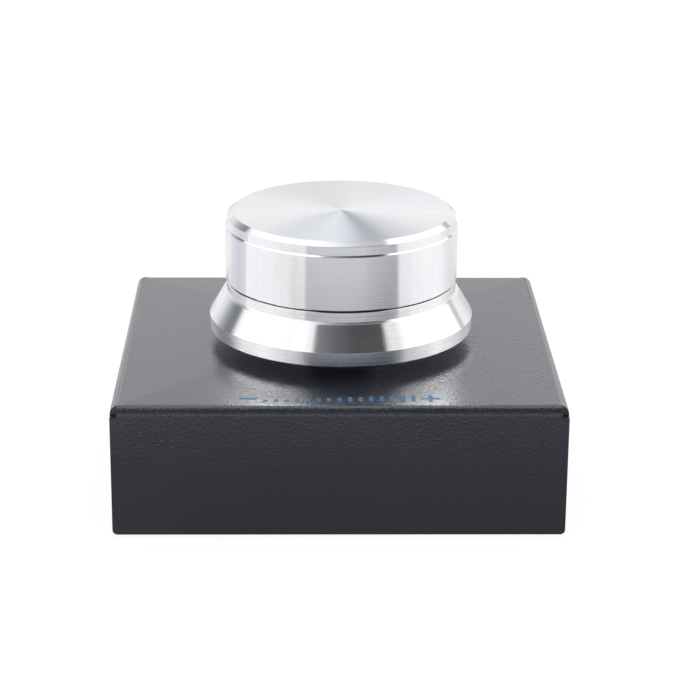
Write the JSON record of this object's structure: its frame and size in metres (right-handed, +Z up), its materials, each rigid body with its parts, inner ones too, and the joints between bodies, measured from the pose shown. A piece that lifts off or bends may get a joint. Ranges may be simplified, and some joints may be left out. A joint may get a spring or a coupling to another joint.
{
  "type": "desktop volume control",
  "caption": "Turned aluminium knob with a flared skirt on a folded steel desk box; it turns endlessly in detents over an encoder and presses down to click.",
  "frame": {"origin": "on the desk, under the middle of the box's footprint", "axes": "+X to the right along the box's width, +Y to the rear, away from the user, +Z up along the knob's axis"},
  "size_m": [0.08, 0.075, 0.0494],
  "materials": {
    "black_powder_coat": "fine leathery powder coat, satin",
    "zinc_plated_steel": "bright zinc plate",
    "plated_screw_steel": "nickel plate",
    "foot_rubber": "moulded, matt",
    "board_laminate": "green solder mask",
    "tinned_steel": "tin plate",
    "black_nylon": "moulded",
    "contact_bronze": "gold flash on bronze",
    "chip_epoxy": "moulded epoxy",
    "capacitor_can": "drawn can",
    "capacitor_ceramic": "fired, matt",
    "cast_zinc": "die cast",
    "track_wafer": "phenolic laminate",
    "white_acetal": "moulded",
    "shaft_metal": "turned",
    "turned_aluminium": "fine turned, bright, spun top face",
    "black_oxide_screw": "black oxide"
  },
  "bodies": {
    "box": {"top_cover": "black_powder_coat", "base_plate": "black_powder_coat", "bracket_front_left": "zinc_plated_steel", "bracket_front_right": "zinc_plated_steel", "bracket_rear_left": "zinc_plated_steel", "bracket_rear_right": "zinc_plated_steel", "case_screws": "plated_screw_steel", "foot_front_left": "foot_rubber", "foot_front_right": "foot_rubber", "foot_rear_left": "foot_rubber", "foot_rear_right": "foot_rubber", "circuit_board": "board_laminate", "board_standoffs": "zinc_plated_steel", "board_screws": "plated_screw_steel", "usb_shell": "tinned_steel", "usb_insulator": "black_nylon", "usb_contacts": "contact_bronze", "controller_chip": "chip_epoxy", "chip_leads": "tinned_steel", "crystal_can": "tinned_steel", "filter_capacitor": "capacitor_can", "chip_capacitors": "capacitor_ceramic", "chip_resistors": "chip_epoxy", "encoder_base": "black_nylon", "encoder_bushing": "cast_zinc", "encoder_frame": "tinned_steel", "encoder_terminals": "tinned_steel", "contact_disc": "track_wafer", "detent_spring": "contact_bronze", "switch_dome": "tinned_steel", "bushing_washer": "zinc_plated_steel", "bushing_nut": "zinc_plated_steel"},
    "rotor": {"encoder_rotor": "white_acetal", "wiper_contacts": "contact_bronze"},
    "knob": {"encoder_shaft": "shaft_metal", "knob_body": "turned_aluminium", "set_screw": "black_oxide_screw"}
  },
  "joints": [
    {"name": "knob_turn", "type": "hinge", "parent": "box", "child": "rotor", "pos_m": [0.0007, 0, 0.0246], "axis": [0, 0, 1], "continuous": true},
    {"name": "knob_press", "type": "slide", "parent": "rotor", "child": "knob", "axis": [0, 0, -1], "range_m": [0, 0.0005], "stiffness_N_per_m": 3000, "springref_m": -0.0006, "deforming": ["switch_dome"]}
  ]
}
